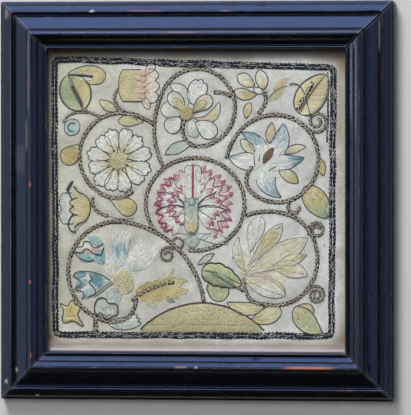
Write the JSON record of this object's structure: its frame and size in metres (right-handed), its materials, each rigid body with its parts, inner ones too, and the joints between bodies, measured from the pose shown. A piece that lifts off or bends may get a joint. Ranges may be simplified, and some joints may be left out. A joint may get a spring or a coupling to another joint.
{
  "type": "crewel embroidery panel in moulded wooden frame",
  "caption": "Nearly square linen panel worked with coiling plaited stems and flowers, laid on a board in a deep black mitred moulding, lying on its back.",
  "frame": {"origin": "middle of the flat back of the frame", "axes": "+X to the right of the picture, +Y to its top, +Z out of its face"},
  "size_m": [0.3, 0.303, 0.025],
  "materials": {
    "rail_top": "old black ebonising, softly glossy, worn to red-brown wood on its edges",
    "rail_bottom": "old black ebonising, softly glossy, worn to red-brown wood on its edges",
    "rail_left": "old black ebonising, softly glossy, worn to red-brown wood on its edges",
    "rail_right": "old black ebonising, softly glossy, worn to red-brown wood on its edges",
    "embroidered_cloth": "undyed linen, foxed at its edges, worked in crewel wool",
    "backboard": "plain sawn softwood board"
  },
  "bodies": {
    "root": {"rail_top": "rail_top", "rail_bottom": "rail_bottom", "rail_left": "rail_left", "rail_right": "rail_right", "embroidered_cloth": "embroidered_cloth", "backboard": "backboard"}
  },
  "joints": []
}
